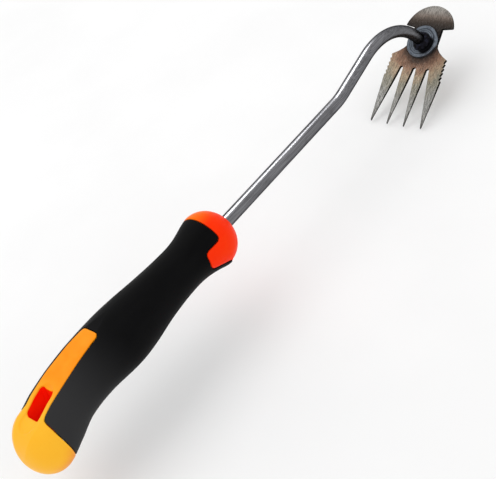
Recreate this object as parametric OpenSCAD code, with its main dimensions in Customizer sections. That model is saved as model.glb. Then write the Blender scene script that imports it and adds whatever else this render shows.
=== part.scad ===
// Hand weeder: a bent steel shank that carries a forked head with a half-moon
// blade, and a two-material chisel-type handle.
// The shank's axis in the handle is the X axis, with the head at +X and the
// handle's spine strip facing +Z. The origin is where the hang slot's centre
// line crosses the shank's axis. The tool is symmetric about the plane Y = 0.

/* [Handle] */
// distance from the hang slot to the widest ring of the nose collar
collar_x = 101; // [99:0.5:105]
// half height of the nose collar at its widest ring
collar_r = 13.5; // [13:0.1:14]
// length of the rounded nose in front of that ring
nose_len = 12; // [10:0.5:14]
// half height of the grip at the waist behind the collar
waist_r = 10.6; // [10.2:0.1:11.4]
// half height of the grip at the palm swell
palm_r = 13.8; // [13.2:0.1:14.6]
// half height of the heel at its fullest
heel_r = 14.1; // [13.6:0.1:14.8]
// how far the middle of the heel drops below the shank's axis
heel_drop = 8.4; // [7:0.1:9.5]
// width of the handle as a share of its height
width_share = 0.98; // [0.94:0.01:1]

/* [Coloured parts] */
// where the heel cap meets the grip, at the height of the shank's axis
border_x = -3.8; // [-4.6:0.2:-3]
// backward lean of that border, in degrees
heel_lean = 5; // [0:1:8]
// width of the spine strip at the hang slot
strip_w = 12.8; // [11.6:0.2:13.4]
// width of the spine strip at its front end
strip_front_w = 9.8; // [9:0.2:11]
// front end of the spine strip
strip_front_x = 34.6; // [30:0.2:38]
// height of the strip's underside above the shank's axis
strip_floor_z = 9; // [8.8:0.1:9.4]
// gap that shows as a line between two handle parts
seam = 0.25; // [0.15:0.05:0.4]

/* [Hang slot] */
// length of the hang slot along the handle
slot_l = 11; // [10:0.5:11.5]
// width of the hang slot
slot_w = 7.8; // [6:0.2:8]
// corner radius of the hang slot
slot_corner_r = 1.6; // [1:0.1:2]
// forward lean of the hang slot, in degrees
slot_lean = 9; // [7:1:11]
// depth of the finger channel around the hang slot
channel_h = 0.8; // [0.4:0.1:1]

/* [Shank] */
// diameter of the steel shank
shank_d = 6; // [6:0.1:6.4]
// straight length from the widest collar ring to the first bend
straight_l = 96.5; // [90:0.5:100]
// centre-line radius of the first bend
rise_r = 30; // [26:1:34]
// angle of the first bend, in degrees
rise_angle = 13.6; // [12:0.2:15]
// straight length between the two bends
riser_l = 23; // [20:0.5:26]
// centre-line radius of the gooseneck
neck_r = 36; // [33:0.5:38]
// angle of the shank's end below the X axis, in degrees
head_angle = 58.3; // [56:0.1:60]
// straight length between the gooseneck and the plate
stub_l = 6.5; // [6:0.5:8]

/* [Head] */
// thickness of the head plate
plate_t = 1.8; // [1.6:0.1:2.5]
// distance from the shank's centre to the tine tips
tip_p = 45.2; // [42:0.2:48]
// spacing of the tine tips
tip_pitch = 10.3; // [9.6:0.1:10.8]
// width of the blunt tine tips
tip_w = 0.5; // [0.4:0.1:1]
// distance from the shank's centre to the rounded ends of the gaps
gap_p = 14.8; // [14:0.1:15.4]
// spacing of those rounded ends
gap_pitch = 8; // [7.6:0.1:8.4]
// radius of those rounded ends
gap_r = 1.1; // [0.8:0.1:1.2]
// half width of the fork at its shoulders
shoulder_q = 16.7; // [16:0.1:17.4]
// distance from the shank's centre to the shoulders
shoulder_p = 7.8; // [7.5:0.1:8.5]
// number of saw teeth on each side edge
tooth_count = 5; // [4:1:6]
// spacing of the saw teeth
tooth_pitch = 2.25; // [1.8:0.05:2.3]
// depth of the saw teeth
tooth_depth = 0.9; // [0.6:0.1:1.1]
// radius of the half-moon blade
moon_r = 14.6; // [14:0.1:15.2]
// distance from the shank's centre to the blade's apex
apex_p = 20.5; // [19:0.1:21]
// distance from the shank's centre to the blade's inner edge at the neck
chord_p = 8; // [7.5:0.1:8.5]
// how much further out that edge runs at the blade's corners
chord_rise = 0.9; // [0:0.1:1.2]
// half width of the neck between blade and fork
neck_q = 8.3; // [8:0.1:9]

/* [Washer and welds] */
// diameter of the washer between shank and plate
washer_d = 17.2; // [16:0.2:18]
// thickness of the washer
washer_t = 1.8; // [1.4:0.1:2.2]
// radius of the front weld bead on the washer
bead_r = 5.2; // [4.6:0.1:5.6]
// height of the front weld bead up the shank
bead_h = 2.4; // [2:0.1:3]
// radius of the flush weld at the back of the plate
plug_r = 4.6; // [4.2:0.1:5]
// depth of the flush weld
plug_h = 1.2; // [1:0.1:1.5]

/* [Core] */
// radius of the core stem that carries the shank
stem_r = 6.5; // [6:0.1:6.8]
// rear end of the core stem
stem_rear_x = 10; // [9:0.5:12]
// radius of the heel cap's socket for the stem
socket_r = 8.4; // [8:0.1:8.6]
// how far the socket reaches forward
socket_x = 26; // [22:1:30]
// rear end of the shank's tang
tang_x = 22; // [20:1:26]
// rear end of the tang's flattened wings
wing_x = 34; // [30:1:40]
// length of those wings
wing_l = 18; // [14:1:22]
// span of those wings
wing_span = 10; // [9:0.5:11]
// thickness of those wings
wing_t = 1.8; // [1.4:0.1:2.2]

/* [Hidden] */
eps = 0.01;
fit = 0.05;
reach = 60;
round_fn = 64;
section_fn = 48;
slice_thin = 0.02;

red_orange = [0.95, 0.3, 0.05];
yellow_orange = [0.98, 0.68, 0.12];
core_orange = [0.9, 0.45, 0.08];
grip_black = [0.11, 0.11, 0.12];
steel = [0.36, 0.36, 0.38];
plate_brown = [0.4, 0.36, 0.33];
washer_grey = [0.33, 0.35, 0.39];
weld_dark = [0.2, 0.2, 0.22];

shank_r = shank_d / 2;
bend_x = collar_x + straight_l;
tip_end_x = collar_x + nose_len;

// Handle stations from heel to collar: place along X, half height, middle height.
heel_x = -5.5;
heel_round = 12;
heel_slope = 0.14;
stations = [
    [heel_x, heel_r, -heel_drop + 1.2],
    [2.5, heel_r - 0.2, -heel_drop + 4.3],
    [12.5, palm_r - 0.8, -0.6],
    [24.5, palm_r - 0.7, 0.8],
    [40.5, palm_r, 0.3],
    [50.5, palm_r - 0.5, 0.3],
    [64.5, waist_r + 1, 0.8],
    [78.5, waist_r, 0.9],
    [88.5, waist_r + 0.3, 0.7],
    [collar_x, collar_r, 0.4]
];
last = len(stations) - 1;

function clamp_index(i) = max(0, min(last, i));
function station(i, k) = stations[clamp_index(i)][k];
function segment(x, i = 0) = (i >= last - 1 || x < station(i + 1, 0)) ? i : segment(x, i + 1);
function spline(a, b, c, d, t) =
    0.5 * (2 * b + (c - a) * t + (2 * a - 5 * b + 4 * c - d) * t * t
    + (3 * b - a - 3 * c + d) * t * t * t);
function profile(x, k, i) =
    spline(station(i - 1, k), station(i, k), station(i + 1, k), station(i + 2, k),
           (x - station(i, 0)) / (station(i + 1, 0) - station(i, 0)));
function smooth(x, k) = profile(x, k, segment(x));

// The spine is flat where the strip lies and fades to round in front of it.
flat_x = 10;
flat_fade = 36;
function flat_half(x) = strip_w / 2 * (1 - pow(max(0, min(1, (x - flat_x) / flat_fade)), 2));
function flat_share(x) =
    let(at_x = max(x, heel_x), half = min(flat_half(at_x), collar_r * 0.6))
    x > flat_x + flat_fade ? 1 : sqrt(1 - pow(half / (width_share * smooth(at_x, 1)), 2));

// Cross-sections of the whole handle, from the heel's end to the nose.
round_steps = 8;
body_steps = 28;
end_flat = 0.12;
nose_flat = 0.3;
function heel_cut(s) =
    [heel_x - heel_round * cos(s * 90 / round_steps),
     heel_r * max(end_flat, sin(s * 90 / round_steps)),
     stations[0][2] - heel_slope * heel_round * cos(s * 90 / round_steps)];
function body_cut(s) =
    let(x = heel_x + (collar_x - heel_x) * s / body_steps) [x, smooth(x, 1), smooth(x, 2)];
function nose_cut(s) =
    [collar_x + nose_len * sin(s * 90 / round_steps),
     collar_r * max(nose_flat, cos(s * 90 / round_steps)),
     stations[last][2] * cos(s * 90 / round_steps)];
cuts = concat([for (s = [0:round_steps - 1]) heel_cut(s)],
              [for (s = [0:body_steps]) body_cut(s)],
              [for (s = [1:round_steps]) nose_cut(s)]);

// The shank's path in the plane Y = 0: each of these places its children in a
// frame whose X axis runs along the shank there.
module past_rise() {
    translate([bend_x, 0, rise_r])
        rotate([0, -rise_angle, 0])
            translate([0, 0, -rise_r])
                children();
}

module past_riser() {
    past_rise()
        translate([riser_l, 0, 0])
            children();
}

module past_neck() {
    past_riser()
        translate([0, 0, -neck_r])
            rotate([0, head_angle + rise_angle, 0])
                translate([0, 0, neck_r])
                    children();
}

// The plate's own frame: X towards the tines, Z away from the shank.
module at_plate() {
    past_neck()
        translate([stub_l, 0, 0])
            rotate([0, 90, 0])
                children();
}

function section_points(r, top) =
    [for (i = [0:section_fn - 1])
        [width_share * r * sin(i * 360 / section_fn), min(top, r * cos(i * 360 / section_fn))]];

module section(cut) {
    translate([cut[0], 0, cut[2]])
        rotate([90, 0, 90])
            linear_extrude(height = slice_thin, center = true)
                polygon(section_points(cut[1], cut[1] * flat_share(cut[0])));
}

// The whole handle as one smooth shape, before it is divided into its parts.
module handle_form() {
    for (i = [0:len(cuts) - 2])
        hull() {
            section(cuts[i]);
            section(cuts[i + 1]);
        }
}

// Points of a rounded rectangle about the origin.
corner_steps = 6;
function rounded_rectangle(l, w, r) =
    [for (corner = [0:3], step = [0:corner_steps])
        let(a = (corner + step / corner_steps) * 90,
            along = (corner == 0 || corner == 3) ? 1 : -1,
            across = (corner < 2) ? 1 : -1)
        [along * (l / 2 - r) + r * cos(a), across * (w / 2 - r) + r * sin(a)]];

// The hang slot, right through the heel and the edge of the grip below it.
module slot_cut() {
    rotate([0, slot_lean, 0])
        linear_extrude(height = 2 * reach, center = true)
            polygon(rounded_rectangle(slot_l, slot_w, slot_corner_r));
}

// The channel for a finger or a cord, round-ended behind the hang slot.
channel_front_x = 8.5;
channel_round_x = -7.2;
module channel_cut() {
    difference() {
        linear_extrude(height = reach)
            union() {
                translate([channel_round_x, 0])
                    circle(d = slot_w, $fn = 32);
                translate([channel_round_x, -slot_w / 2])
                    square([channel_front_x - channel_round_x, slot_w]);
            }
        translate([0, 0, -channel_h])
            handle_form();
    }
}

// Everything behind the leaning border, the spine strip and the stem's socket.
strip_corner_r = 1.6;
strip_wide_x = 12;
strip_root_x = 8.5;
strip_ramp = 8;
border_lift = 0.3;
module strip_plan(grow) {
    offset(r = strip_corner_r + grow)
        polygon([[-reach, strip_w / 2 - strip_corner_r],
                 [strip_wide_x, strip_w / 2 - strip_corner_r],
                 [strip_front_x - strip_corner_r, strip_front_w / 2 - strip_corner_r],
                 [strip_front_x - strip_corner_r, strip_corner_r - strip_front_w / 2],
                 [strip_wide_x, strip_corner_r - strip_w / 2],
                 [-reach, strip_corner_r - strip_w / 2]]);
}

module spine_plan(grow) {
    offset(r = -strip_corner_r)
        offset(delta = strip_corner_r) {
            strip_plan(grow);
            translate([border_x - border_lift + grow - reach, -reach])
                square([reach, 2 * reach]);
        }
}

module strip_region(grow) {
    intersection() {
        linear_extrude(height = reach)
            spine_plan(grow);
        rotate([90, 0, 0])
            linear_extrude(height = 2 * reach, center = true)
                polygon([[-reach, -grow], [strip_root_x, -grow],
                         [strip_root_x + strip_ramp, strip_floor_z - grow],
                         [reach, strip_floor_z - grow], [reach, reach], [-reach, reach]]);
    }
}

module heel_region(grow = 0) {
    rotate([0, -heel_lean, 0])
        translate([border_x + grow - reach, -reach, -reach])
            cube([reach, 2 * reach, 2 * reach]);
    strip_region(grow);
    translate([border_x + grow, 0, 0])
        rotate([0, 90, 0])
            cylinder(h = socket_x - border_x, r = socket_r + grow, $fn = round_fn);
}

// The nose, with a tab that runs back along each side of the grip.
tab_x = 90.2;
tab_top_z = 6.3;
tab_end_z = 5;
tab_low_z = -3.8;
tab_root_z = -7.8;
ring_x = 99.9;
lip_x = 101.5;
tab_round = 1.2;
module collar_side() {
    offset(r = tab_round)
        offset(delta = -tab_round)
            offset(r = -tab_round)
                offset(delta = tab_round)
                    polygon([[ring_x, reach], [ring_x, tab_top_z], [tab_x + 0.6, tab_end_z],
                             [tab_x, tab_low_z], [lip_x, tab_root_z], [lip_x, -reach],
                             [ring_x + reach, -reach], [ring_x + reach, reach]]);
}

module collar_region(grow = 0) {
    rotate([90, 0, 0])
        linear_extrude(height = 2 * reach, center = true)
            offset(r = grow)
                collar_side();
}

// The core stem and its keys; grow gives the hollow that the other parts have.
key_w = 2.4;
key_r = 7.8;
key_x = 32;
key_l = 54;
stem_front_x = 103.5;
module stem_form(grow = 0) {
    translate([stem_rear_x - grow, 0, 0])
        rotate([0, 90, 0])
            cylinder(h = stem_front_x - stem_rear_x + 2 * grow, r = stem_r + grow, $fn = round_fn);
    for (side = [-1, 1])
        translate([key_x - grow, min(0, side * (key_r + grow)), -key_w / 2 - grow])
            cube([key_l + 2 * grow, key_r + grow, key_w + 2 * grow]);
}

// A straight length of shank along X, from one place to another.
module shank_length(from, to) {
    translate([from, 0, 0])
        rotate([0, 90, 0])
            cylinder(h = to - from, r = shank_r, $fn = round_fn);
}

// A bend that starts along X and turns towards +Z. Bending draws the steel a
// little thinner, so the straight lengths lap over the ends of the bends.
thinning = 0.02;
lap = 0.1;
module shank_bend(radius, turn) {
    translate([0, 0, radius])
        rotate([90, 0, 0])
            rotate([0, 0, -90])
                rotate_extrude(angle = turn, $fn = 96)
                    translate([radius, 0])
                        circle(r = shank_r - thinning, $fn = round_fn);
}

module tang_form() {
    shank_length(tang_x, bend_x + lap);
    translate([wing_x, -wing_span / 2, -wing_t / 2])
        cube([wing_l, wing_span, wing_t]);
}

module shank() {
    color(steel) {
        tang_form();
        translate([bend_x, 0, 0])
            shank_bend(rise_r, rise_angle);
        past_rise()
            shank_length(-lap, riser_l + lap);
        past_riser()
            mirror([0, 0, 1])
                shank_bend(neck_r, head_angle + rise_angle);
        past_neck()
            shank_length(-lap, stub_l + plate_t);
    }
}

module core_stem() {
    color(core_orange)
        difference() {
            stem_form();
            tang_form();
        }
}

module nose_collar() {
    color(red_orange)
        difference() {
            intersection() {
                handle_form();
                collar_region();
            }
            stem_form(fit);
            rotate([0, 90, 0])
                cylinder(h = tip_end_x + reach, r = shank_r + fit, $fn = round_fn);
        }
}

module heel_cap() {
    color(yellow_orange)
        difference() {
            intersection() {
                handle_form();
                heel_region();
            }
            slot_cut();
            channel_cut();
            stem_form(fit);
        }
}

module grip_sleeve() {
    color(grip_black)
        difference() {
            handle_form();
            heel_region(seam);
            collar_region(seam);
            slot_cut();
            stem_form(fit);
        }
}

// Straight-sided gap between two tines, from its rounded end out past the tips.
module tine_gap(k) {
    root_q = k * gap_pitch;
    low_q = (k - 0.5) * tip_pitch + tip_w / 2;
    high_q = (k + 0.5) * tip_pitch - tip_w / 2;
    translate([gap_p, root_q])
        circle(r = gap_r, $fn = 32);
    polygon([[gap_p, root_q - gap_r], [tip_p, low_q], [tip_p + 1, low_q],
             [tip_p + 1, high_q], [tip_p, high_q], [gap_p, root_q + gap_r]]);
}

teeth_end_p = shoulder_p + tooth_count * tooth_pitch;
tip_q = 1.5 * tip_pitch + tip_w / 2;
function fork_side(side) =
    concat([[-chord_p - 1, side * neck_q], [0, side * neck_q],
            [shoulder_p * 0.25, side * (neck_q + 0.5)],
            [shoulder_p * 0.5, side * (neck_q + 2.2)],
            [shoulder_p * 0.75, side * (neck_q + 4.8)]],
           [for (i = [0:tooth_count - 1], foot = [0, 1])
            [shoulder_p + (i + foot * 0.85) * tooth_pitch,
             side * (shoulder_q - foot * tooth_depth + 0.4 * i / tooth_count)]],
           [[teeth_end_p, side * (shoulder_q + 0.4)], [tip_p, side * tip_q]]);

function backwards(list) = [for (i = [len(list) - 1:-1:0]) list[i]];

module fork_area() {
    polygon(concat(fork_side(-1), backwards(fork_side(1))));
}

module moon_area() {
    intersection() {
        translate([moon_r - apex_p, 0])
            circle(r = moon_r, $fn = 96);
        polygon([[-apex_p - 1, -moon_r], [-chord_p - chord_rise, -moon_r], [-chord_p, -neck_q],
                 [-chord_p, neck_q], [-chord_p - chord_rise, moon_r], [-apex_p - 1, moon_r]]);
    }
}

module head_plate() {
    color(plate_brown)
        at_plate()
            difference() {
                linear_extrude(height = plate_t)
                    difference() {
                        union() {
                            fork_area();
                            moon_area();
                        }
                        for (k = [-1:1])
                            tine_gap(k);
                    }
                translate([0, 0, -1])
                    cylinder(h = plate_t + 2, r = shank_r, $fn = round_fn);
                translate([0, 0, plate_t - plug_h])
                    cylinder(h = plug_h, r1 = shank_r, r2 = plug_r, $fn = round_fn);
            }
}

groove_r = 5.9;
groove_w = 0.8;
groove_h = 0.5;
module weld_washer() {
    color(washer_grey)
        at_plate()
            rotate_extrude($fn = 96)
                polygon([[shank_r, 0], [washer_d / 2, 0], [washer_d / 2, 0.4 - washer_t],
                         [washer_d / 2 - 0.4, -washer_t], [groove_r + groove_w, -washer_t],
                         [groove_r + groove_w / 2, groove_h - washer_t], [groove_r, -washer_t],
                         [shank_r, -washer_t]]);
}

module front_weld() {
    color(weld_dark)
        at_plate()
            rotate_extrude($fn = round_fn)
                polygon([[shank_r, -washer_t], [bead_r, -washer_t],
                         [bead_r - 0.3, -washer_t - 0.6],
                         [shank_r + 0.6, -washer_t - bead_h * 0.7],
                         [shank_r, -washer_t - bead_h]]);
}

module rear_weld() {
    color(weld_dark)
        at_plate()
            rotate_extrude($fn = round_fn)
                polygon([[shank_r, plate_t - plug_h], [plug_r, plate_t], [shank_r, plate_t]]);
}

shank();
core_stem();
nose_collar();
heel_cap();
grip_sleeve();
head_plate();
weld_washer();
front_weld();
rear_weld();
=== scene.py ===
import math

import bpy
import numpy as np
from mathutils import Matrix, Vector


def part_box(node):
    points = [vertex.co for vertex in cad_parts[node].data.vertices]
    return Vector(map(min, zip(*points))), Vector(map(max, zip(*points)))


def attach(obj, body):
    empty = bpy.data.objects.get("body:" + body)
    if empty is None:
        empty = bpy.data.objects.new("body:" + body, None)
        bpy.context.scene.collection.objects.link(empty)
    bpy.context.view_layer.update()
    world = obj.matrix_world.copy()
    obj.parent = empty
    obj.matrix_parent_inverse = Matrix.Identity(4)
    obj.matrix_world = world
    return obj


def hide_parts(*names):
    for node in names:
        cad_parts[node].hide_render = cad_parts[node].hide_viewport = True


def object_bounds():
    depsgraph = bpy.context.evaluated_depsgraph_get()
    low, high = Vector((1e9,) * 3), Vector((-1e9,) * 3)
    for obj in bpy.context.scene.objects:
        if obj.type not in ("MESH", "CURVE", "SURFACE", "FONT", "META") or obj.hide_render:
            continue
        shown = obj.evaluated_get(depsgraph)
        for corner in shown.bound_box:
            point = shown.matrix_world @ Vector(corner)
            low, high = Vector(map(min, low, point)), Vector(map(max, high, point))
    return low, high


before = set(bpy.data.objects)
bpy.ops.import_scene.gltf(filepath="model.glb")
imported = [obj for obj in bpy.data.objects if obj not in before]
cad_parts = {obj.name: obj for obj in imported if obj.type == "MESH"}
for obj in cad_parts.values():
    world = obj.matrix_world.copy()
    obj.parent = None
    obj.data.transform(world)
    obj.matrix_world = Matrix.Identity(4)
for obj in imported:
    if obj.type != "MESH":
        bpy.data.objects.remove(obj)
cad_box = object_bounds()

# Everything below is modelled in millimetres and scaled once, when a mesh is made.
MM = 0.001
nose_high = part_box("nose_collar")[1]
heel_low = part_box("heel_cap")[0]

# The handle: stations along X, half height and middle height, as the CAD has them.
TIP_X = nose_high.x / MM
RING_X = TIP_X - 12
HEEL_X = heel_low.x / MM + 12
STATIONS = np.array([
    [HEEL_X, 14.1, -7.2],
    [HEEL_X + 8, 13.9, -4.1],
    [HEEL_X + 18, 13.0, -0.6],
    [HEEL_X + 30, 13.1, 0.8],
    [HEEL_X + 46, 13.8, 0.3],
    [HEEL_X + 56, 13.3, 0.3],
    [HEEL_X + 70, 11.6, 0.8],
    [HEEL_X + 84, 10.6, 0.9],
    [HEEL_X + 94, 10.9, 0.7],
    [RING_X, 13.5, 0.4]])
WIDTH_SHARE = 0.98
SKIN_INSET = 0.02
STRIP_HALF = 6.4
STRIP_FRONT_HALF = 4.9
STRIP_FRONT_X = 34.6
BORDER_X = -3.8
BORDER_LEAN = math.tan(math.radians(5))
SLOT_LEAN = math.radians(9)
SLOT_HALF_LENGTH = 5.5
SLOT_HALF_WIDTH = 3.9
SLOT_CORNER = 1.6
SLOT_WALL = 12.2
SEAM_HALF = 0.12

# The shank's path: straight, a slight rise, straight, then the gooseneck.
ROD_R = 3.0
STRAIGHT = 96.5
RISE_R = 30.0
RISE = math.radians(13.6)
RISER = 23.0
NECK_R = 36.0
HEAD = math.radians(58.3)
STUB = 6.5
PLATE_T = 1.8
WASHER_T = 1.8
WASHER_R = 8.6
PLUG_R = 4.6

# The head's outline: P runs from the shank's centre towards the tips, Q across it.
TIP_P = 45.2
TIP_PITCH = 10.3
TIP_HALF = 0.25
GAP_P = 14.8
GAP_R = 1.1
GAP_PITCH = 8.0
SHOULDER_P = 7.8
SHOULDER_Q = 16.7
TEETH = 5
TOOTH_PITCH = 2.25
TOOTH_DEPTH = 0.9
TOOTH_SPREAD = 0.4
MOON_R = 14.6
APEX_P = 20.47
CHORD_P = 8.0
CHORD_RISE = 0.9
NECK_Q = 8.3


# Triangle meshes as numpy arrays

def grid_faces(rows, columns, closed):
    """Triangles of a grid of points, closed round the columns if asked."""
    across = columns if closed else columns - 1
    row, column = np.meshgrid(np.arange(rows - 1), np.arange(across), indexing="ij")
    a = row * columns + column
    b = row * columns + (column + 1) % columns
    c = a + columns
    d = b + columns
    return np.concatenate([np.stack([a, c, d], -1).reshape(-1, 3),
                           np.stack([a, d, b], -1).reshape(-1, 3)])


def compact(points, faces):
    """Drops the points that no triangle uses."""
    used, faces = np.unique(faces, return_inverse=True)
    return points[used], faces.reshape(-1, 3)


def clip(points, faces, field):
    """The part of a mesh where the field is below zero, cut cleanly on its zero line."""
    value = field(points)
    inside = value < 0
    count = inside[faces].sum(1)

    def odd_first(mixed, state):
        first = np.argmax(inside[mixed] == state, axis=1)
        return mixed[np.arange(len(mixed))[:, None], (first[:, None] + np.arange(3)) % 3]

    one = odd_first(faces[count == 1], True)
    two = odd_first(faces[count == 2], False)
    pairs = np.concatenate([one[:, [0, 1]], one[:, [0, 2]], two[:, [0, 1]], two[:, [0, 2]]])
    pairs.sort(axis=1)
    unique, where = np.unique(pairs, axis=0, return_inverse=True)
    near, far = value[unique[:, 0]], value[unique[:, 1]]
    share = (near / (near - far))[:, None]
    cut = points[unique[:, 0]] * (1 - share) + points[unique[:, 1]] * share
    where = where.ravel() + len(points)
    n = len(one)
    m = len(two)
    a1, a2 = where[:n], where[n:2 * n]
    b1, b2 = where[2 * n:2 * n + m], where[2 * n + m:]
    faces = np.concatenate([
        faces[count == 3],
        np.stack([one[:, 0], a1, a2], 1),
        np.stack([b1, two[:, 1], two[:, 2]], 1),
        np.stack([b1, two[:, 2], b2], 1)])
    return compact(np.concatenate([points, cut]), faces)


def point_normals(points, faces):
    """Area-weighted normals of the points."""
    a, b, c = points[faces].transpose(1, 0, 2)
    facing = np.cross(b - a, c - a)
    out = np.zeros_like(points)
    for corner in range(3):
        np.add.at(out, faces[:, corner], facing)
    return unit(out)


def unit(vectors):
    """The vectors scaled to length one."""
    return vectors / np.maximum(np.linalg.norm(vectors, axis=1, keepdims=True), 1e-9)


def border_loops(faces):
    """The open edges chained into loops, each with its surface on the left."""
    edges = np.concatenate([faces[:, [0, 1]], faces[:, [1, 2]], faces[:, [2, 0]]]).tolist()
    known = {(a, b) for a, b in edges}
    follow = {a: b for a, b in edges if (b, a) not in known}
    loops = []
    while follow:
        start, at = next(iter(follow.items()))
        del follow[start]
        loop = [start]
        while at != start and at in follow:
            loop.append(at)
            at = follow.pop(at)
        loops.append(np.array(loop))
    return loops


def softened(ring, reach):
    """A closed row of vectors averaged over its neighbours."""
    total = sum(np.roll(ring, k, axis=0) for k in range(-reach, reach + 1))
    return total / (2 * reach + 1)


class Skin:
    """A surface with a material number for each triangle."""

    def __init__(self, points, faces):
        self.points = points
        self.faces = faces
        self.kinds = np.zeros(len(faces), int)

    def cut(self, field):
        self.points, self.faces = clip(self.points, self.faces, field)
        self.kinds = np.zeros(len(self.faces), int)

    def roll_borders(self, radius, depth, pick=None, axis=None, kind=0, steps=4):
        """Rolls chosen borders into a rounded lip, then a wall inwards in its own material."""
        normals = point_normals(self.points, self.faces)
        for loop in border_loops(self.faces):
            if len(loop) > 8 and (pick is None or pick(self.points[loop])):
                self._roll(loop, normals[loop], radius, depth, axis, kind, steps)

    def _roll(self, loop, normal, radius, depth, axis, kind, steps):
        ring = self.points[loop]
        tangent = np.roll(ring, -3, axis=0) - np.roll(ring, 3, axis=0)
        out = unit(softened(unit(np.cross(unit(tangent), normal)), 2))
        deep = depth(ring)[:, None] if callable(depth) else depth
        inward = -normal if axis is None else np.sign(-(normal @ axis))[:, None] * axis
        rows = []
        for step in range(1, steps + 1):
            angle = math.pi / 2 * step / steps
            rows.append(ring + radius * (math.sin(angle) * out - (1 - math.cos(angle)) * normal))
        rows.append(rows[-1] + deep * inward)
        before = loop
        for number, row in enumerate(rows):
            after = len(self.points) + np.arange(len(loop))
            self.points = np.concatenate([self.points, row])
            a, b = before, np.roll(before, -1)
            c, d = after, np.roll(after, -1)
            new = np.concatenate([np.stack([b, a, c], 1), np.stack([b, c, d], 1)])
            self.faces = np.concatenate([self.faces, new])
            shown = kind if number == steps else 0
            self.kinds = np.concatenate([self.kinds, np.full(len(new), shown)])
            before = after

    def join(self, other):
        """Adds another skin to this one."""
        self.faces = np.concatenate([self.faces, other.faces + len(self.points)])
        self.points = np.concatenate([self.points, other.points])
        self.kinds = np.concatenate([self.kinds, other.kinds])


def make_piece(name, skin, materials, node, place=None, sharp=40):
    """A Blender object for a skin, which rides on the root body and stands for a CAD node."""
    mesh = bpy.data.meshes.new(name)
    mesh.from_pydata((skin.points * MM).tolist(), [], skin.faces.tolist())
    for material in materials:
        mesh.materials.append(material)
    mesh.polygons.foreach_set("material_index", skin.kinds.astype(np.int32))
    mesh.shade_smooth()
    mesh.set_sharp_from_angle(angle=math.radians(sharp))
    mesh.update()
    piece = bpy.data.objects.new(name, mesh)
    bpy.context.scene.collection.objects.link(piece)
    if place is not None:
        piece.matrix_world = place
    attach(piece, "root")
    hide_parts(node)
    return piece


# Distance fields, in millimetres, negative inside

def polygon_distance(x, y, corners):
    """Signed distance from points to a closed outline."""
    best = np.full(x.shape, 1e9)
    odd = np.zeros(x.shape, bool)
    for (ax, ay), (bx, by) in zip(corners, corners[1:] + corners[:1]):
        ex, ey = bx - ax, by - ay
        share = np.clip(((x - ax) * ex + (y - ay) * ey) / (ex * ex + ey * ey), 0, 1)
        best = np.minimum(best, np.hypot(x - ax - share * ex, y - ay - share * ey))
        slope = ex / ey if ey else 0.0
        odd ^= ((ay > y) != (by > y)) & (x < ax + (y - ay) * slope)
    return np.where(odd, -best, best)


def rounded(corners, radius, steps=6):
    """The outline with each corner drawn as a short curve."""
    out = []
    for k, at in enumerate(np.array(corners, float)):
        before = np.array(corners[k - 1], float) - at
        after = np.array(corners[(k + 1) % len(corners)], float) - at
        one = before * min(0.45, radius / np.linalg.norm(before))
        two = after * min(0.45, radius / np.linalg.norm(after))
        for t in np.linspace(0, 1, steps):
            out.append(tuple(at + one * (1 - t) ** 2 + two * t ** 2))
    return out


def box_distance(x, y, half_x, half_y, corner):
    """Signed distance to a rounded rectangle about the origin."""
    qx = np.abs(x) - half_x + corner
    qy = np.abs(y) - half_y + corner
    outside = np.hypot(np.maximum(qx, 0), np.maximum(qy, 0))
    return outside + np.minimum(np.maximum(qx, qy), 0) - corner


SPINE_OUTLINE = rounded([
    (BORDER_X, -30), (BORDER_X, -STRIP_HALF), (12, -STRIP_HALF),
    (STRIP_FRONT_X, -STRIP_FRONT_HALF), (STRIP_FRONT_X, STRIP_FRONT_HALF), (12, STRIP_HALF),
    (BORDER_X, STRIP_HALF), (BORDER_X, 30), (-60, 30), (-60, -30)], 2.4)
COLLAR_OUTLINE = rounded([
    (RING_X - 1.1, 40), (RING_X - 1.1, 6.3), (RING_X - 10.2, 5), (RING_X - 10.8, -3.8),
    (RING_X + 0.6, -7.8), (RING_X + 0.6, -40), (RING_X + 60, -40), (RING_X + 60, 40)], 2.2)


def heel_field(p):
    """Heel and spine strip on one side, grip on the other."""
    below = p[:, 0] + np.minimum(p[:, 2], 0) * BORDER_LEAN - BORDER_X
    above = polygon_distance(p[:, 0], p[:, 1], SPINE_OUTLINE)
    return np.where(p[:, 2] > 0, above, below)


def collar_field(p):
    """Nose collar on one side, grip on the other."""
    return polygon_distance(p[:, 0], p[:, 2], COLLAR_OUTLINE)


def slot_field(p):
    """The hang slot, as a leaning rounded prism."""
    along = p[:, 0] * math.cos(SLOT_LEAN) - p[:, 2] * math.sin(SLOT_LEAN)
    return box_distance(along, p[:, 1], SLOT_HALF_LENGTH, SLOT_HALF_WIDTH, SLOT_CORNER)


def rod_field(p):
    """The space that the shank takes, seen along X."""
    return np.hypot(p[:, 1], p[:, 2]) - ROD_R - 0.05


# The handle

def smooth_step(low, high, value):
    """Eases from 0 at low to 1 at high."""
    t = np.clip((value - low) / (high - low), 0, 1)
    return t * t * (3 - 2 * t)


def spline(x, column):
    """A station value at places along the handle."""
    places = STATIONS[:, 0]
    last = len(places) - 1
    i = np.clip(np.searchsorted(places, x, side="right") - 1, 0, last - 1)
    values = STATIONS[:, column]
    a, b = values[np.maximum(i - 1, 0)], values[i]
    c, d = values[i + 1], values[np.minimum(i + 2, last)]
    t = (x - places[i]) / (places[i + 1] - places[i])
    return 0.5 * (2 * b + (c - a) * t + (2 * a - 5 * b + 4 * c - d) * t * t
                  + (3 * b - a - 3 * c + d) * t ** 3)


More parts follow.
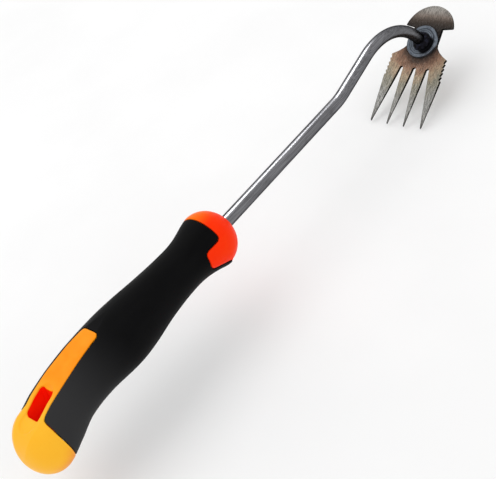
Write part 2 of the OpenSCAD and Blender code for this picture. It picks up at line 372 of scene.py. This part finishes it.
def handle_rows():
    """Place, half height, middle height and flatness of each ring of the handle."""
    turn = np.radians(np.linspace(0, 90, 56))
    heel = np.stack([HEEL_X - 12 * np.cos(turn), 14.1 * np.sin(turn),
                     -7.2 - 1.68 * np.cos(turn)], 1)
    along = np.arange(HEEL_X + 0.4, RING_X, 0.42)
    body = np.stack([along, spline(along, 1), spline(along, 2)], 1)
    turn = np.radians(np.linspace(0, 86, 50))
    nose = np.stack([RING_X + 12 * np.sin(turn), 13.5 * np.cos(turn), 0.4 * np.cos(turn)], 1)
    rows = np.concatenate([heel, body, nose])
    place = np.maximum(rows[:, 0], HEEL_X)
    half = STRIP_HALF * (1 - np.clip((place - 10) / 36, 0, 1) ** 2)
    wide = WIDTH_SHARE * spline(np.minimum(place, RING_X), 1)
    flat = np.sqrt(1 - (half / wide) ** 2)
    return np.concatenate([rows, flat[:, None]], 1)


def handle_skin(columns=264):
    """The whole handle as one closed skin, with its flat spine and its finger channel."""
    rows = handle_rows()
    turn = np.linspace(0, 2 * math.pi, columns, endpoint=False)
    radius = np.maximum(rows[:, 1:2] - SKIN_INSET, 0)
    top = np.minimum(rows[:, 3:4] * radius, radius * np.cos(turn))
    points = np.stack([np.repeat(rows[:, 0:1], columns, 1),
                       WIDTH_SHARE * radius * np.sin(turn), rows[:, 2:3] + top], -1)
    faces = grid_faces(len(rows), columns, True)
    faces[faces < columns] = 0
    distinct = (faces[:, 0] != faces[:, 1]) & (faces[:, 1] != faces[:, 2])
    points = points.reshape(-1, 3)
    points[0, 0] += SKIN_INSET
    points = finger_channel(points)
    return compact(guard_lip(points), faces[distinct])


def finger_channel(points):
    """Sinks the channel round the hang slot, which ends in a U on the heel."""
    inside = box_distance(points[:, 0] + 1.3, points[:, 1], 9.9, 4.3, 4.2)
    depth = 0.9 * smooth_step(0.5, -1.0, inside) * (points[:, 2] > -2)
    return points - depth[:, None] * np.array([0, 0, 1])


def guard_lip(points):
    """The small lip of the grip under the nose."""
    x = points[:, 0]
    rise = smooth_step(RING_X - 6, RING_X - 0.4, x) * (x < RING_X + 0.6)
    low = smooth_step(-5.5, -9, points[:, 2])
    swell = 1 + 0.035 * rise * low
    return np.stack([x, points[:, 1] * swell, points[:, 2] * swell], 1)


def build_heel(whole, paints):
    """Heel cap with the spine strip and the upper walls of the hang slot."""
    skin = Skin(*whole)
    skin.cut(lambda p: np.maximum(heel_field(p) + SEAM_HALF + 0.42, 0.4 - slot_field(p)))
    slot_wall = np.array([math.sin(SLOT_LEAN), 0, math.cos(SLOT_LEAN)])

    def is_slot(ring):
        return np.abs(ring[:, 1]).max() < SLOT_HALF_WIDTH + 1 and np.ptp(ring[:, 0]) < 16

    skin.roll_borders(0.4, SLOT_WALL, pick=is_slot, axis=slot_wall, kind=1)
    skin.roll_borders(0.42, 1.8, pick=lambda ring: not is_slot(ring))
    make_piece("heel_and_spine_strip", skin, paints, "heel_cap")


def build_grip(whole, paints):
    """The soft grip between heel and nose."""
    skin = Skin(*whole)
    gap = SEAM_HALF + 0.4
    skin.cut(lambda p: np.maximum(gap - heel_field(p), gap - collar_field(p)))
    skin.cut(lambda p: 0.4 - slot_field(p))
    skin.roll_borders(0.4, 1.8)
    make_piece("soft_grip", skin, paints, "grip_sleeve")


def build_nose(whole, paints):
    """The rounded nose with its side tabs and the hole that the shank leaves by."""
    skin = Skin(*whole)
    skin.cut(lambda p: np.maximum(collar_field(p) + SEAM_HALF + 0.4,
                                  np.where(p[:, 0] > RING_X, 0.35 - rod_field(p), -9)))
    skin.roll_borders(0.4, 1.8, pick=lambda ring: ring[:, 0].min() < RING_X + 4)
    skin.roll_borders(0.35, 3.0, pick=lambda ring: ring[:, 0].min() > RING_X + 4)
    make_piece("nose_and_side_tabs", skin, paints, "nose_collar")


# The shank

def shank_path():
    """Points and headings of the shank's centre line, as rows of x, z, heading."""
    start = 22.0
    bend = RING_X + STRAIGHT
    rows = [(x, 0.0, 0.0) for x in np.arange(start, bend, 2.0)]
    x, z = bend, 0.0
    for a in np.linspace(0, RISE, 12):
        rows.append((x + RISE_R * math.sin(a), z + RISE_R * (1 - math.cos(a)), a))
    x, z = rows[-1][0], rows[-1][1]
    rows += [(x + s * math.cos(RISE), z + s * math.sin(RISE), RISE) for s in np.arange(1, RISER, 2.0)]
    x, z = x + RISER * math.cos(RISE), z + RISER * math.sin(RISE)
    for a in np.linspace(RISE, -HEAD, 64):
        rows.append((x + NECK_R * (math.sin(RISE) - math.sin(a)),
                     z + NECK_R * (math.cos(a) - math.cos(RISE)), a))
    x, z = rows[-1][0], rows[-1][1]
    end = STUB + PLATE_T - 0.02
    rows += [(x + s * math.cos(HEAD), z - s * math.sin(HEAD), -HEAD) for s in np.linspace(1, end, 6)]
    return np.array(rows)


def tube(path, radius, columns=56):
    """A round bar swept along a path in the plane Y = 0, with its two ends closed."""
    turn = np.linspace(0, 2 * math.pi, columns, endpoint=False)
    side = np.stack([-np.sin(path[:, 2]), np.cos(path[:, 2])], 1)
    x = path[:, 0:1] + radius * np.cos(turn) * side[:, 0:1]
    z = path[:, 1:2] + radius * np.cos(turn) * side[:, 1:2]
    y = np.repeat(radius * np.sin(turn)[None, :], len(path), 0)
    points = np.stack([x, y, z], -1).reshape(-1, 3)
    faces = grid_faces(len(path), columns, True)
    ends = np.array([[path[0, 0], 0, path[0, 1]], [path[-1, 0], 0, path[-1, 1]]])
    around = np.arange(columns)
    following = (around + 1) % columns
    last = (len(path) - 1) * columns
    count = len(points)
    start_cap = np.stack([np.full(columns, count), around, following], 1)
    end_cap = np.stack([np.full(columns, count + 1), last + following, last + around], 1)
    return Skin(np.concatenate([points, ends]), np.concatenate([faces, start_cap, end_cap]))


def slab(low, high, chamfer=0.3):
    """A small block with chamfered long edges."""
    y0, y1, z0, z1 = low[1], high[1], low[2], high[2]
    c = chamfer
    section = [(y0 + c, z0), (y1 - c, z0), (y1, z0 + c), (y1, z1 - c),
               (y1 - c, z1), (y0 + c, z1), (y0, z1 - c), (y0, z0 + c)]
    points = [(x, y, z) for x in (low[0], high[0]) for y, z in section]
    faces = grid_faces(2, 8, True)[:, ::-1]
    caps = [(0, k + 1, k) for k in range(1, 7)] + [(8, 8 + k, 9 + k) for k in range(1, 7)]
    return Skin(np.array(points, float), np.concatenate([faces, np.array(caps)]))


def build_shank(paints):
    """The bent steel bar, with the flattened wings that hold its tang in the core."""
    skin = tube(shank_path(), ROD_R)
    skin.join(slab((34, -5, -0.9), (52, 5, 0.9)))
    make_piece("bent_steel_shank", skin, paints, "shank")


# The head, in the plate's own frame: X towards the tines, Z away from the shank

def head_frame():
    """The plate's frame at the end of the shank, as a world matrix."""
    x, z, _ = shank_path()[-1]
    back = PLATE_T - 0.02
    x -= back * math.cos(HEAD)
    z += back * math.sin(HEAD)
    turn = Matrix(((-math.sin(HEAD), 0, math.cos(HEAD)), (0, 1, 0),
                   (-math.cos(HEAD), 0, -math.sin(HEAD))))
    return Matrix.Translation(Vector((x, 0, z)) * MM) @ turn.to_4x4()


def fork_side(side):
    """One side of the fork's outline, from the neck past the saw teeth to the tip."""
    corners = [(-CHORD_P - 1, NECK_Q), (0, NECK_Q), (SHOULDER_P * 0.25, NECK_Q + 0.5),
               (SHOULDER_P * 0.5, NECK_Q + 2.2), (SHOULDER_P * 0.75, NECK_Q + 4.8)]
    for k in range(TEETH):
        top = SHOULDER_Q + TOOTH_SPREAD * k / TEETH
        corners.append((SHOULDER_P + k * TOOTH_PITCH, top))
        corners.append((SHOULDER_P + (k + 0.85) * TOOTH_PITCH, top - TOOTH_DEPTH))
    corners.append((SHOULDER_P + TEETH * TOOTH_PITCH, SHOULDER_Q + TOOTH_SPREAD))
    corners.append((TIP_P, 1.5 * TIP_PITCH + TIP_HALF))
    return [(p, side * q) for p, q in corners]


def gap_field(p, q, k):
    """One V gap between tines, with its round end."""
    root = k * GAP_PITCH
    low = (k - 0.5) * TIP_PITCH + TIP_HALF
    high = (k + 0.5) * TIP_PITCH - TIP_HALF
    outline = [(GAP_P, root - GAP_R), (TIP_P, low), (TIP_P + 3, low), (TIP_P + 3, high),
               (TIP_P, high), (GAP_P, root + GAP_R)]
    return np.minimum(polygon_distance(p, q, outline), np.hypot(p - GAP_P, q - root) - GAP_R)


def plate_field(points):
    """Signed distance to the plate's outline."""
    p, q = points[:, 0], points[:, 1]
    fork = polygon_distance(p, q, fork_side(-1) + fork_side(1)[::-1])
    arc = np.hypot(p - MOON_R + APEX_P, q) - MOON_R
    chord = p + CHORD_P + CHORD_RISE * np.clip((np.abs(q) - NECK_Q) / (MOON_R - NECK_Q), 0, 1)
    body = np.minimum(fork, np.maximum(arc, chord))
    for k in (-1, 0, 1):
        body = np.maximum(body, -gap_field(p, q, k))
    return body


def plate_levels(p, q):
    """Front and back height of the plate: ground blade edge, tines drawn thin to the tips."""
    arc = MOON_R - np.hypot(p - MOON_R + APEX_P, q)
    ground = 0.75 * smooth_step(1.9, 0.1, arc) * (p < -CHORD_P + 0.5)
    wave = 0.05 * np.sin(p * 0.21 + 0.6) * np.cos(q * 0.17)
    thin = 1.05 * smooth_step(18, TIP_P, p)
    return ground + wave * (p > 6), PLATE_T - thin


def plate_face(front):
    """One broad face of the plate with its rolled edge and half of the side wall."""
    step = 0.3
    p = np.arange(-20.4, 45.6, step)
    q = np.arange(-18, 18.01, step)
    grid_p, grid_q = np.meshgrid(p, q, indexing="ij")
    flat = np.stack([grid_p.ravel(), grid_q.ravel(), np.zeros(grid_p.size)], 1)
    faces = grid_faces(len(p), len(q), False)
    skin = Skin(flat, faces[:, ::-1] if front else faces)
    hole = 0.0 if front else PLUG_R
    skin.cut(lambda at: np.maximum(plate_field(at) + 0.2, hole - np.hypot(at[:, 0], at[:, 1])))
    low, high = plate_levels(skin.points[:, 0], skin.points[:, 1])
    skin.points[:, 2] = low if front else high

    def half_wall(ring):
        low, high = plate_levels(ring[:, 0], ring[:, 1])
        return np.maximum((high - low) / 2 - 0.2, 0.02)

    skin.roll_borders(0.2, half_wall, axis=np.array([0, 0, 1.0]), steps=3, kind=1,
                      pick=lambda ring: np.hypot(ring[:, 0], ring[:, 1]).max() > 5)
    return skin


def build_plate(paints, place):
    """The stamped head: fork, saw teeth and half-moon blade."""
    skin = plate_face(True)
    skin.join(plate_face(False))
    make_piece("forked_head_plate", skin, paints, "head_plate", place, 35)


def lathe(profile, columns=96, wobble=None):
    """A profile of (radius, height) turned about Z, its radius changed by a wobble."""
    profile = np.array(profile, float)
    turn = np.linspace(0, 2 * math.pi, columns, endpoint=False)
    radius = np.repeat(profile[:, 0:1], columns, 1)
    height = np.repeat(profile[:, 1:2], columns, 1)
    if wobble is not None:
        radius = radius + wobble(turn[None, :], height)
    points = np.stack([radius * np.cos(turn), radius * np.sin(turn), height], -1)
    return Skin(points.reshape(-1, 3), grid_faces(len(profile), columns, True))


def rounded_profile(corners, radius):
    """An open profile whose inner corners are drawn as short curves."""
    curve = rounded(corners, radius, 5)
    return [corners[0]] + curve[5:-5] + [corners[-1]]


def build_washer(paints, place):
    """The thick washer with its turned ring groove."""
    top = -WASHER_T
    profile = rounded_profile([
        (ROD_R, top + 0.1), (5.6, top + 0.1), (6.1, top + 0.55), (6.7, top + 0.5),
        (7.0, top + 0.02), (WASHER_R, top + 0.12), (WASHER_R, 0.0), (ROD_R, 0.0)], 0.35)
    skin = lathe(profile)
    make_piece("ring_washer", skin, paints, "weld_washer", place)


def weld_wobble(turn, height):
    """The uneven build-up of a hand-laid bead."""
    ripple = 0.16 * np.sin(13 * turn + 1.7 * height) + 0.1 * np.sin(29 * turn - height)
    lump = 0.22 * np.sin(3 * turn + 0.8) + 0.12 * np.sin(5 * turn)
    return (ripple + lump) * smooth_step(-4.4, -2.6, height)


def build_weld(paints, place):
    """The dark bead between shank and washer."""
    top = -WASHER_T
    profile = [(4.9, top + 0.3), (4.8, top - 0.1), (4.55, top - 0.45), (4.25, top - 0.8),
               (3.95, top - 1.15), (3.65, top - 1.55), (3.35, top - 2.0), (3.1, top - 2.4),
               (2.95, top - 2.6)]
    skin = lathe(profile[::-1], wobble=weld_wobble)
    make_piece("front_weld_bead", skin, paints, "front_weld", place)


# Materials: every one is built from noise and place, in millimetres

def srgb(red, green, blue):
    """A colour given in screen values from 0 to 255."""
    return tuple((c / 255 / 12.92) if c < 11 else ((c / 255 + 0.055) / 1.055) ** 2.4
                 for c in (red, green, blue))


class Paint:
    """A node material under construction."""

    def __init__(self, name):
        self.material = bpy.data.materials.new(name)
        self.material.use_nodes = True
        self.tree = self.material.node_tree
        self.surface = self.tree.nodes["Principled BSDF"]
        source = self.tree.nodes.new("ShaderNodeTexCoord").outputs["Object"]
        scaled = self.tree.nodes.new("ShaderNodeVectorMath")
        scaled.operation = "SCALE"
        scaled.inputs["Scale"].default_value = 1 / MM
        self.tree.links.new(source, scaled.inputs[0])
        self.place = scaled.outputs[0]

    def put(self, value, socket):
        """Links an output or sets a plain value."""
        if isinstance(value, bpy.types.NodeSocket):
            self.tree.links.new(value, socket)
        else:
            socket.default_value = value

    def noise(self, scale, stretch=(1, 1, 1), detail=4.0, rough=0.55):
        """Noise with features about 1 / scale millimetres across."""
        node = self.tree.nodes.new("ShaderNodeTexNoise")
        node.inputs["Scale"].default_value = scale
        node.inputs["Detail"].default_value = detail
        node.inputs["Roughness"].default_value = rough
        self.put(self.along(stretch), node.inputs["Vector"])
        return node.outputs[0]

    def along(self, factors):
        """The place multiplied by a factor for each axis."""
        node = self.tree.nodes.new("ShaderNodeVectorMath")
        node.operation = "MULTIPLY"
        self.put(self.place, node.inputs[0])
        node.inputs[1].default_value = factors
        return node.outputs[0]

    def toward(self, direction):
        """How far a place lies along a direction, in millimetres."""
        node = self.tree.nodes.new("ShaderNodeVectorMath")
        node.operation = "DOT_PRODUCT"
        self.put(self.place, node.inputs[0])
        node.inputs[1].default_value = direction
        return node.outputs["Value"]

    def distance(self, factors=(1, 1, 0)):
        """Distance from the local Z axis, in millimetres."""
        node = self.tree.nodes.new("ShaderNodeVectorMath")
        node.operation = "LENGTH"
        self.put(self.along(factors), node.inputs[0])
        return node.outputs["Value"]

    def span(self, value, low, high, out_low=0.0, out_high=1.0):
        """Maps a range to another range, clamped."""
        node = self.tree.nodes.new("ShaderNodeMapRange")
        node.interpolation_type = "SMOOTHSTEP"
        for socket, item in zip(node.inputs[:5], (value, low, high, out_low, out_high)):
            self.put(item, socket)
        return node.outputs[0]

    def sum(self, *values):
        """Adds values."""
        total = values[0]
        for value in values[1:]:
            total = self.combine("ADD", total, value)
        return total

    def combine(self, operation, one, two):
        """One arithmetic step."""
        node = self.tree.nodes.new("ShaderNodeMath")
        node.operation = operation
        self.put(one, node.inputs[0])
        self.put(two, node.inputs[1])
        return node.outputs[0]

    def mix(self, factor, one, two):
        """Blends two colours."""
        node = self.tree.nodes.new("ShaderNodeMix")
        node.data_type = "RGBA"
        self.put(factor, node.inputs[0])
        self.put(one if isinstance(one, bpy.types.NodeSocket) else (*one, 1), node.inputs[6])
        self.put(two if isinstance(two, bpy.types.NodeSocket) else (*two, 1), node.inputs[7])
        return node.outputs[2]

    def ramp(self, value, stops):
        """A colour from a row of (position, colour) stops."""
        node = self.tree.nodes.new("ShaderNodeValToRGB")
        while len(node.color_ramp.elements) < len(stops):
            node.color_ramp.elements.new(0.5)
        for element, (position, colour) in zip(node.color_ramp.elements, stops):
            element.position = position
            element.color = (*colour, 1)
        self.put(value, node.inputs[0])
        return node.outputs[0]

    def bumps(self, *layers):
        """Stacks (height, depth in millimetres) layers into the surface."""
        before = None
        for height, depth in layers:
            node = self.tree.nodes.new("ShaderNodeBump")
            node.inputs["Strength"].default_value = 1.0
            node.inputs["Distance"].default_value = depth * MM
            self.put(height, node.inputs["Height"])
            if before is not None:
                self.put(before, node.inputs["Normal"])
            before = node.outputs["Normal"]
        self.put(before, self.surface.inputs["Normal"])

    def finish(self, colour, rough, metal=0.0, gloss=0.5, edge=None):
        """Sets colour, roughness, metalness and gloss, and returns the material."""
        self.put(colour, self.surface.inputs["Base Color"])
        self.put(rough, self.surface.inputs["Roughness"])
        self.surface.inputs["Metallic"].default_value = metal
        self.surface.inputs["Specular IOR Level"].default_value = gloss
        if edge is not None:
            self.surface.inputs["Specular Tint"].default_value = (*edge, 1)
        return self.material


def plastic_marks(paint, base_rough):
    """Roughness and relief shared by the moulded plastics: grain, flow marks and scuffs."""
    grain = paint.noise(2.6, detail=3)
    flow = paint.noise(0.12, (1, 1, 1.6), detail=2)
    scuffs = paint.span(paint.noise(0.9, (0.25, 2.2, 2.2), detail=6), 0.6, 0.72)
    paint.bumps((flow, 0.10), (grain, 0.012), (scuffs, 0.02))
    wear = paint.combine("MULTIPLY", scuffs, 0.16)
    cloud = paint.span(flow, 0.3, 0.7, base_rough - 0.05, base_rough + 0.07)
    return paint.combine("ADD", cloud, wear), scuffs, flow


def heel_paint():
    """Yellow-orange plastic that deepens to orange along the strip, with painted shade that turns the
    underside of the heel deeper orange.
    """
    paint = Paint("heel_plastic")
    rough, scuffs, flow = plastic_marks(paint, 0.36)
    forward = paint.span(paint.toward((1, 0, 0)), -4, 14)
    # Painted shade: the underside and lower near side of the heel turn deeper orange.
    under = paint.span(paint.toward((0.5, -0.35, -0.8)), 6, 15)
    colour = paint.mix(forward, srgb(255, 186, 42), srgb(255, 146, 0))
    colour = paint.mix(under, colour, srgb(250, 150, 30))
    colour = paint.mix(paint.span(flow, 0.35, 0.75, 0, 0.15), colour, srgb(255, 200, 60))
    colour = paint.mix(paint.combine("MULTIPLY", scuffs, 0.10), colour, srgb(235, 150, 50))
    return paint.finish(colour, rough, gloss=0.12)


def slot_paint():
    """Red-orange painted shade inside the hang slot of the orange plastic, with a faint painted glow
    from a weak emission, as if light passes through it.
    """
    paint = Paint("slot_plastic")
    rough, scuffs, flow = plastic_marks(paint, 0.45)
    # Painted shade: the slot walls are painted deep red-orange for the shade in the recess.
    colour = paint.mix(paint.span(flow, 0.3, 0.7), srgb(255, 20, 0), srgb(255, 45, 0))
    colour = paint.mix(paint.combine("MULTIPLY", scuffs, 0.2), colour, srgb(235, 40, 10))
    # Painted glow: a weak red emission brightens the slot walls.
    paint.surface.inputs["Emission Color"].default_value = (*srgb(255, 30, 0), 1)
    paint.surface.inputs["Emission Strength"].default_value = 0.10
    return paint.finish(colour, rough, gloss=0.05)


def nose_paint():
    """Orange plastic painted red-orange below as painted shade, and lighter orange on its upper side
    as painted light.
    """
    paint = Paint("collar_plastic")
    rough, scuffs, flow = plastic_marks(paint, 0.38)
    # Painted light and shade: lighter orange on the upper side, red-orange painted shade below.
    upper = paint.span(paint.toward((0, 0.68, 0.73)), 4, 13)
    colour = paint.mix(upper, srgb(255, 48, 0), srgb(255, 116, 0))
    colour = paint.mix(paint.span(flow, 0.35, 0.75, 0, 0.12), colour, srgb(255, 90, 10))
    colour = paint.mix(paint.combine("MULTIPLY", scuffs, 0.12), colour, srgb(230, 80, 30))
    return paint.finish(colour, rough, gloss=0.06)


def core_paint():
    """Plain moulded plastic of the hidden core."""
    paint = Paint("core_plastic")
    rough, _, flow = plastic_marks(paint, 0.5)
    colour = paint.mix(paint.span(flow, 0.3, 0.7), srgb(225, 95, 20), srgb(240, 120, 30))
    return paint.finish(colour, rough, gloss=0.3)


def grip_paint():
    """Near-black elastomer with a fine matt grain, rub marks, a little dust and a painted sheen that
    lightens it towards the heel.
    """
    paint = Paint("grip_rubber")
    grain = paint.noise(3.2, detail=3, rough=0.6)
    rub = paint.noise(0.08, (0.5, 1.2, 1.2), detail=5)
    dust = paint.span(paint.noise(1.4, detail=8, rough=0.7), 0.62, 0.78)
    colour = paint.mix(paint.span(rub, 0.3, 0.75), srgb(4, 4, 5), srgb(12, 12, 13))
    # Painted sheen: the grip turns lighter grey towards the heel end.
    painted_sheen = paint.span(paint.toward((1, 0, 0)), 42, 2, 0, 0.9)
    colour = paint.mix(painted_sheen, colour, srgb(52, 52, 53))
    colour = paint.mix(paint.combine("MULTIPLY", dust, 0.2), colour, srgb(64, 63, 61))
    rough = paint.sum(paint.span(rub, 0.3, 0.7, 0.46, 0.62), paint.combine("MULTIPLY", dust, 0.15))
    paint.bumps((rub, 0.18), (grain, 0.03))
    return paint.finish(colour, rough, gloss=0.05)


def shank_paint():
    """Dark drawn steel with fine lines along its length and faint stains, darkened near the head as
    painted shade.
    """
    paint = Paint("steel")
    lines = paint.noise(2.4, (0.02, 1.4, 1.4), detail=5)
    stain = paint.noise(0.16, (0.6, 1.5, 1.5), detail=6, rough=0.65)
    pits = paint.span(paint.noise(2.2, detail=6, rough=0.7), 0.66, 0.78)
    colour = paint.mix(paint.span(lines, 0.35, 0.65), srgb(96, 96, 99), srgb(128, 128, 131))
    colour = paint.mix(paint.span(stain, 0.5, 0.75, 0, 0.7), colour, srgb(70, 68, 68))
    # Painted shade: the shank darkens where it bends down into the head.
    near_head = paint.span(paint.toward((1, 0, -0.6)), 262, 276)
    colour = paint.mix(near_head, colour, srgb(40, 38, 40))
    rough = paint.sum(paint.span(lines, 0.3, 0.7, 0.24, 0.36), paint.span(stain, 0.5, 0.8, 0, 0.16))
    paint.bumps((lines, 0.02), (pits, -0.02))
    return paint.finish(colour, rough, metal=1.0, edge=srgb(90, 90, 90))


def plate_paint():
    """Stamped steel: brown and violet heat tint round the weld, grey grain on the tines, a painted
    contact shadow round the washer and painted shade on the blade next to the neck.
    """
    paint = Paint("plate_steel")
    grain = paint.noise(1.7, detail=8, rough=0.75)
    blotch = paint.noise(0.22, detail=6, rough=0.7)
    brush = paint.noise(1.3, (0.25, 1.6, 1), detail=6)
    spread = paint.sum(paint.distance(), paint.span(blotch, 0.2, 0.8, -2.5, 2.5))
    # The darkest first stop is a painted contact shadow just outside the washer; the browns after it
    # are heat tint.
    fork = paint.ramp(paint.span(spread, 7, 44), [
        (0.0, srgb(52, 42, 38)), (0.06, srgb(122, 92, 76)), (0.14, srgb(160, 126, 104)),
        (0.24, srgb(182, 160, 134)), (0.45, srgb(150, 145, 128)), (0.8, srgb(156, 156, 153))])
    # Painted shade: the blade is dark next to the neck and lightens towards its cut edge.
    blade = paint.ramp(paint.span(paint.toward((-1, 0, 0)), 7, 20), [
        (0.0, srgb(34, 30, 30)), (0.3, srgb(72, 62, 56)), (0.6, srgb(124, 112, 104)),
        (1.0, srgb(166, 162, 156))])
    colour = paint.mix(paint.span(paint.toward((1, 0, 0)), -7, 2), blade, fork)
    colour = paint.mix(paint.span(brush, 0.45, 0.62, 0, 0.6), colour, srgb(74, 70, 65))
    tines = paint.span(paint.toward((1, 0, 0)), 6, 28, 0.15, 1)
    bright = paint.combine("MULTIPLY", paint.span(brush, 0.44, 0.34, 0, 0.55), tines)
    colour = paint.mix(bright, colour, srgb(208, 205, 198))
    colour = paint.mix(paint.span(paint.toward((1, 0, 0)), 36, 46, 0, 0.75), colour, srgb(40, 39, 38))
    colour = paint.mix(paint.span(grain, 0.54, 0.66, 0, 0.8), colour, srgb(44, 41, 39))
    speck = paint.combine("MULTIPLY", paint.span(grain, 0.46, 0.36, 0, 0.6), tines)
    colour = paint.mix(speck, colour, srgb(214, 210, 202))
    rough = paint.span(grain, 0.3, 0.7, 0.42, 0.62)
    paint.bumps((blotch, 0.25), (grain, 0.09), (brush, 0.03))
    return paint.finish(colour, rough, metal=0.7, gloss=0.3, edge=srgb(90, 90, 90))


def cut_edge_paint():
    """The punched side walls of the plate, near-black as painted shade, and torn in places."""
    paint = Paint("cut_edge")
    tear = paint.noise(1.1, (1, 1, 0.3), detail=6)
    # Painted shade: the side walls are near-black, varied by the tear noise.
    colour = paint.mix(paint.span(tear, 0.45, 0.75), srgb(9, 9, 9), srgb(34, 33, 32))
    paint.bumps((tear, 0.08))
    return paint.finish(colour, paint.span(tear, 0.3, 0.7, 0.5, 0.7), metal=0.5, gloss=0.1,
                        edge=srgb(30, 30, 30))


def washer_paint():
    """Blue-grey steel with turning marks, and painted shade round the weld that reaches further to
    one side.
    """
    paint = Paint("washer_steel")
    reach = paint.distance()
    rings = paint.tree.nodes.new("ShaderNodeTexNoise")
    rings.noise_dimensions = "1D"
    rings.inputs["Scale"].default_value = 4.5
    rings.inputs["Detail"].default_value = 3
    paint.put(reach, rings.inputs["W"])
    cloud = paint.noise(0.5, detail=5, rough=0.65)
    colour = paint.mix(paint.span(rings.outputs[0], 0.3, 0.7), srgb(66, 72, 80), srgb(120, 127, 136))
    colour = paint.mix(paint.span(cloud, 0.45, 0.75, 0, 0.6), colour, srgb(40, 44, 52))
    # Painted shade: dark round the weld, pushed further towards the side where the shank's shade
    # falls.
    painted_weld_shade = paint.sum(reach, paint.span(paint.toward((0.5, -0.87, 0)), 1, 7, 0, -2.6))
    colour = paint.mix(paint.span(painted_weld_shade, 5.5, 4.4), colour, srgb(14, 14, 16))
    rough = paint.span(cloud, 0.3, 0.7, 0.3, 0.5)
    paint.bumps((rings.outputs[0], 0.03), (cloud, 0.05))
    return paint.finish(colour, rough, metal=0.9, edge=srgb(120, 124, 130))


def weld_paint():
    """Burnt weld metal: nearly black, with blue and straw patches."""
    paint = Paint("weld_metal")
    scale = paint.noise(1.1, detail=7, rough=0.7)
    tint = paint.noise(0.45, detail=2)
    colour = paint.mix(paint.span(tint, 0.4, 0.7), srgb(22, 21, 24), srgb(44, 46, 60))
    colour = paint.mix(paint.span(scale, 0.6, 0.75, 0, 0.5), colour, srgb(96, 82, 66))
    rough = paint.span(scale, 0.3, 0.7, 0.4, 0.7)
    paint.bumps((scale, 0.25))
    return paint.finish(colour, rough, metal=0.6, edge=srgb(60, 60, 60))


def floor_paint():
    """Pale studio paper with a barely visible mottle."""
    paint = Paint("studio_paper")
    mottle = paint.noise(0.01, detail=3)
    colour = paint.mix(paint.span(mottle, 0.3, 0.7), (0.93, 0.93, 0.93), (0.96, 0.96, 0.96))
    paint.bumps((paint.noise(0.2, detail=4), 0.02))
    return paint.finish(colour, 0.9, gloss=0.1)


# Studio: camera angles are in degrees, its distance is in metres

CAMERA_AZIMUTH = -33.369
CAMERA_ELEVATION = 37.787
CAMERA_ROLL = -26.029
CAMERA_DISTANCE = 0.437
CAMERA_LENS = 72.58


def build_floor():
    """A wide pale floor just under the lowest point of the tool."""
    mesh = bpy.data.meshes.new("studio_floor")
    half, cells = 3.0, 12
    line = np.linspace(-half, half, cells + 1)
    grid_x, grid_y = np.meshgrid(line, line, indexing="ij")
    level = cad_box[0][2] - 0.0002
    points = np.stack([grid_x.ravel(), grid_y.ravel(), np.full(grid_x.size, level)], 1)
    mesh.from_pydata(points.tolist(), [], grid_faces(cells + 1, cells + 1, False).tolist())
    mesh.materials.append(floor_paint())
    floor = bpy.data.objects.new("studio_floor", mesh)
    bpy.context.scene.collection.objects.link(floor)


def aim_camera():
    """The viewing angle and perspective of a tabletop product shot."""
    azimuth = math.radians(CAMERA_AZIMUTH)
    elevation = math.radians(CAMERA_ELEVATION)
    roll = math.radians(CAMERA_ROLL)
    back = Vector((math.sin(azimuth) * math.cos(elevation),
                   -math.cos(azimuth) * math.cos(elevation), math.sin(elevation)))
    level = Vector((math.cos(azimuth), math.sin(azimuth), 0))
    rise = back.cross(level)
    right = level * math.cos(roll) + rise * math.sin(roll)
    data = bpy.data.cameras.new("camera")
    camera = bpy.data.objects.new("camera", data)
    bpy.context.scene.collection.objects.link(camera)
    aim = Vector((TIP_X + 1.86, -7.46, -9.68)) * MM
    turn = Matrix((right, back.cross(right), back)).transposed().to_4x4()
    camera.matrix_world = Matrix.Translation(aim + back * CAMERA_DISTANCE) @ turn
    data.sensor_width = 36
    data.lens = CAMERA_LENS
    data.clip_start = 0.01
    data.clip_end = 20
    bpy.context.scene.camera = camera


def area_light(name, place, target, size, power):
    """A soft rectangular lamp that faces a target."""
    data = bpy.data.lights.new(name, "AREA")
    data.shape = "RECTANGLE"
    data.size, data.size_y = size
    data.energy = power
    lamp = bpy.data.objects.new(name, data)
    bpy.context.scene.collection.objects.link(lamp)
    facing = (Vector(target) - Vector(place)).normalized()
    lamp.rotation_mode = "QUATERNION"
    lamp.rotation_quaternion = facing.to_track_quat("-Z", "Y")
    lamp.location = place
    return lamp


def light_studio():
    """White surroundings, one large key lamp above and a strip lamp for the shank alone."""
    world = bpy.data.worlds.new("studio")
    bpy.context.scene.world = world
    world.use_nodes = True
    backdrop = world.node_tree.nodes["Background"]
    backdrop.inputs["Color"].default_value = (1, 1, 1, 1)
    backdrop.inputs["Strength"].default_value = 0.92
    middle = (0.13, 0, 0)
    area_light("key", (0.0, 0.35, 1.1), middle, (1.1, 0.9), 2.4)
    strip = area_light("strip", (0.16, 0.24, 0.55), middle, (0.7, 0.10), 9.0)
    lit = bpy.data.collections.new("lit_by_strip")
    lit.objects.link(bpy.data.objects["bent_steel_shank"])
    strip.light_linking.receiver_collection = lit


def paint_hidden_core(paint, weld):
    """The CAD nodes that stay get their materials."""
    for name, material in (("core_stem", paint), ("rear_weld", weld)):
        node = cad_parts[name]
        for place in node.material_slots:
            place.material = material


def main():
    heel, slot_painted_shade, weld = heel_paint(), slot_paint(), weld_paint()
    whole = handle_skin()
    build_heel(whole, [heel, slot_painted_shade])
    build_grip(whole, [grip_paint()])
    build_nose(whole, [nose_paint()])
    build_shank([shank_paint()])
    place = head_frame()
    build_plate([plate_paint(), cut_edge_paint()], place)
    build_washer([washer_paint()], place)
    build_weld([weld], place)
    paint_hidden_core(core_paint(), weld)
    build_floor()
    light_studio()
    aim_camera()
    bpy.context.scene.view_settings.view_transform = "Standard"


main()
